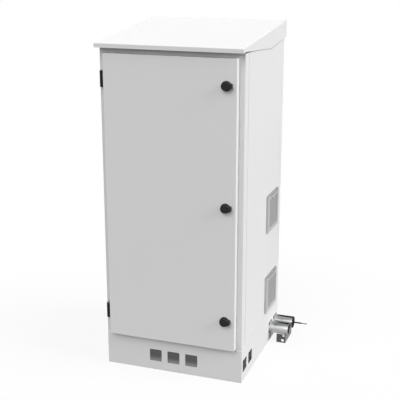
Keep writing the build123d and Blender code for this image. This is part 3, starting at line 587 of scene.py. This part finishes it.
# Screws that hold the gland plate
UP = Vector((0.0, 0.0, 1.0))
GLAND_SCREW_INSET = 0.0075
gland_low, gland_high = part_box("gland_plate")
gland_places = [
    Vector((x, y, gland_high.z))
    for x in (gland_low.x + GLAND_SCREW_INSET, 0.0, gland_high.x - GLAND_SCREW_INSET)
    for y in (gland_low.y + GLAND_SCREW_INSET, gland_high.y - GLAND_SCREW_INSET)
]
gland_screw = socket_screw(gland_places[0], UP, *SMALL_SCREW)
finish_piece("gland_plate_screws", copies(gland_screw, gland_places), "zinc_fastener")

# Screws through the corners of the fan
INWARDS = Vector((-1.0, 0.0, 0.0))
FAN_SCREW_INSET = 0.007
fan_low, fan_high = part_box("fan_housing")
fan_places = [
    Vector((fan_low.x, y, z))
    for y in (fan_low.y + FAN_SCREW_INSET, fan_high.y - FAN_SCREW_INSET)
    for z in (fan_low.z + FAN_SCREW_INSET, fan_high.z - FAN_SCREW_INSET)
]
fan_screw = socket_screw(fan_places[0], INWARDS, *SMALL_SCREW)
finish_piece("fan_screws", copies(fan_screw, fan_places), "zinc_fastener")

# Rubber seals that fill the corners of the cable openings around the conduit stubs
OUT_RIGHT = Vector((1.0, 0.0, 0.0))
WALL_SHEET = 0.002
OPENING_HEIGHT = 0.065
SEAL_HALF = 0.0268
SEAL_CORNER = 0.0038
SEAL_CORNER_STEPS = 5
SEAL_FLANGE_HALF = 0.031
SEAL_FLANGE = 0.002
SEAL_RECESS = 0.0002
SEAL_BORE_SIDES = 96


def seal_block(start_x, end_x, half, middle_y):
    """A square block between two depths in the wall, at the height of the openings, with round corners."""
    made = block(
        (end_x - start_x, 2 * half, 2 * half),
        ((start_x + end_x) / 2, middle_y, OPENING_HEIGHT),
    )
    bevel_edges(
        made,
        SEAL_CORNER,
        SEAL_CORNER_STEPS,
        lambda first, last: abs(first.x - last.x) > SEAL_FLANGE / 2,
    )
    return made


wall_inside_x = wall_x - WALL_SHEET
tube_places = []
for tube in ("conduit_front", "conduit_rear"):
    tube_low, tube_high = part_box(tube)
    tube_places.append(Vector((wall_inside_x, (tube_low.y + tube_high.y) / 2, OPENING_HEIGHT)))
tube_radius = (tube_high.y - tube_low.y) / 2
tube_height = (tube_low.z + tube_high.z) / 2
seal_y = tube_places[0].y
seal = seal_block(wall_inside_x - SEAL_FLANGE / 2, wall_x - SEAL_RECESS, SEAL_HALF, seal_y)
seal_flange = seal_block(wall_inside_x - SEAL_FLANGE, wall_inside_x, SEAL_FLANGE_HALF, seal_y)
combine(seal, seal_flange, "UNION")
bore_radius = tube_radius + SEAL_RECESS / 2
bore_middle = Vector((wall_inside_x, seal_y, tube_height))
combine(seal, drum(SEAL_BORE_SIDES, bore_radius, tube_radius, bore_middle, OUT_RIGHT), "DIFFERENCE")
finish_piece("conduit_seals", copies(seal, tube_places), "rubber")

# Studio: plain soft light and a white surround
AMBIENT = 0.36


def seen(tree):
    """One where the camera, a mirror or a glass looks at it, and zero for the light that it gives."""
    path = tree.nodes.new("ShaderNodeLightPath")
    direct = Tone(path.outputs["Is Camera Ray"])
    glossy = Tone(path.outputs["Is Glossy Ray"])
    through = Tone(path.outputs["Is Transmission Ray"])
    return direct.maths("MAXIMUM", direct, glossy.maths("MAXIMUM", glossy, through))


world = bpy.data.worlds.new("studio")
bpy.context.scene.world = world
world.use_nodes = True
background = world.node_tree.nodes["Background"]
background.inputs["Color"].default_value = grey(1.0)
feed(background, "Strength", AMBIENT + (1 - AMBIENT) * seen(world.node_tree))

# Lamps: name, strength, the way that the light comes from, and its width in degrees
LAMPS = (
    ("key_light", 2.4, Vector((0.857, 0.0, 0.515)), 35.0),
    ("front_light", 1.46, Vector((-0.1, -0.77, 0.63)), 50.0),
    ("rear_light", 1.5, Vector((-0.7, 0.71, 0.02)), 30.0),
)
for lamp_name, energy, lamp_from, softness in LAMPS:
    lamp = bpy.data.lights.new(lamp_name, "SUN")
    lamp.energy = energy
    lamp.angle = radians(softness)
    holder = bpy.data.objects.new(lamp_name, lamp)
    holder.rotation_euler = lamp_from.to_track_quat("Z", "Y").to_euler()
    bpy.context.scene.collection.objects.link(holder)

# Pale floor, with its shades for the light that it gives and for the eye; under the plinth it is seen
# painted dark, with a painted glow and a painted pool of light near the front openings
FLOOR_SIZE = 120.0
FLOOR_DROP = 0.0004
FLOOR_SHADE = 0.12
FLOOR_SHADE_SEEN = 0.85
UNDER_PLINTH_SHADE = 0.9
PAINTED_SHADE_UNDER_PLINTH = 0.03
WHITE_NEAR = 0.86
WHITE_NEAR_REACH = 0.6
WHITE_FAR_REACH = 1.5
PAINTED_GLOW_UNDER_PLINTH = 0.092
PAINTED_POOL_REACH = 0.115
PAINTED_POOL_SLOPE = 3.4
bpy.ops.object.select_all(action="DESELECT")
bpy.ops.mesh.primitive_plane_add(size=FLOOR_SIZE, location=(0.0, 0.0, -FLOOR_DROP))
floor = bpy.context.object
floor.name = "floor"
floor_finish, floor_shader, floor_place = start_finish("pale_floor")
floor_shader.inputs["Roughness"].default_value = 0.9
floor_shader.inputs["Specular IOR Level"].default_value = 0.0
plinth_half_width = plinth_high.x - WALL_SHEET
plinth_half_depth = -plinth_low.y - WALL_SHEET
away = along(floor_place, "Y")
outside_x = beyond(unsigned(along(floor_place, "X")), plinth_half_width)
outside_y = beyond(unsigned(away), plinth_half_depth)
outside = outside_x.maths("MAXIMUM", outside_x, outside_y)
feed(floor_shader, "Base Color", between(outside, grey(UNDER_PLINTH_SHADE), grey(FLOOR_SHADE)))
distance = floor_place.node("ShaderNodeVectorMath", {"operation": "LENGTH"}, {0: floor_place}, "Value")
fade = {
    "Value": distance,
    "From Min": WHITE_NEAR_REACH,
    "From Max": WHITE_FAR_REACH,
    "To Min": WHITE_NEAR,
    "To Max": 1.0,
}
outside_share = distance.node("ShaderNodeMapRange", None, fade)
# Painted light: a pool on the floor just inside the front wall, where light through the front openings
# would fall, on top of an even painted glow under the plinth
painted_pool = above_zero(PAINTED_POOL_REACH - plinth_half_depth - away) * PAINTED_POOL_SLOPE
painted_glow_inside = PAINTED_GLOW_UNDER_PLINTH + painted_pool
share = outside * outside_share + (1 - outside) * painted_glow_inside
pale = between(outside, grey(PAINTED_SHADE_UNDER_PLINTH), grey(FLOOR_SHADE_SEEN))
matt = pale.node("ShaderNodeBsdfDiffuse", None, {"Color": pale})
white = pale.node("ShaderNodeEmission", None, {"Strength": 1.0})
shown = pale.node("ShaderNodeMixShader", None, {0: share, 1: matt, 2: white})
unseen = Tone(floor_shader.outputs["BSDF"])
mixed = shown.node("ShaderNodeMixShader", None, {0: seen(floor_finish.node_tree), 1: unseen, 2: shown})
feed(floor_finish.node_tree.nodes["Material Output"], "Surface", mixed)
floor.data.materials.append(floor_finish)

# Dark flag behind the conduit stubs, which shows only in what reflects it
FLAG_PLACE = (0.046, 0.6, 0.45)
FLAG_WIDTH = 0.5
FLAG_HEIGHT = 0.9
FLAG_UPRIGHT = (radians(90.0), 0.0, 0.0)
bpy.ops.object.select_all(action="DESELECT")
bpy.ops.mesh.primitive_plane_add(
    size=1.0, location=FLAG_PLACE, rotation=FLAG_UPRIGHT, scale=(FLAG_WIDTH, FLAG_HEIGHT, 1.0)
)
flag = bpy.context.object
flag.name = "dark_flag"
flag_finish, flag_shader = start_finish("black_cloth")[:2]
flag_shader.inputs["Base Color"].default_value = grey(0.01)
flag_shader.inputs["Specular IOR Level"].default_value = 0.0
flag.data.materials.append(flag_finish)
flag.visible_camera = False
flag.visible_diffuse = False
flag.visible_transmission = False
flag.visible_shadow = False

# Camera at the photograph's angle
CAMERA_LENS = 80.2
CAMERA_SENSOR = 36.0
CAMERA_PLACE = (1.24756, -3.47575, 1.75685)
CAMERA_DOWN = 16.25
CAMERA_TURN = 19.49
view = bpy.data.cameras.new("camera")
view.lens = CAMERA_LENS
view.sensor_width = CAMERA_SENSOR
camera = bpy.data.objects.new("camera", view)
camera.location = CAMERA_PLACE
camera.rotation_euler = (radians(90.0 - CAMERA_DOWN), 0.0, radians(CAMERA_TURN))
bpy.context.scene.collection.objects.link(camera)
bpy.context.scene.camera = camera
bpy.context.scene.view_settings.view_transform = "Standard"
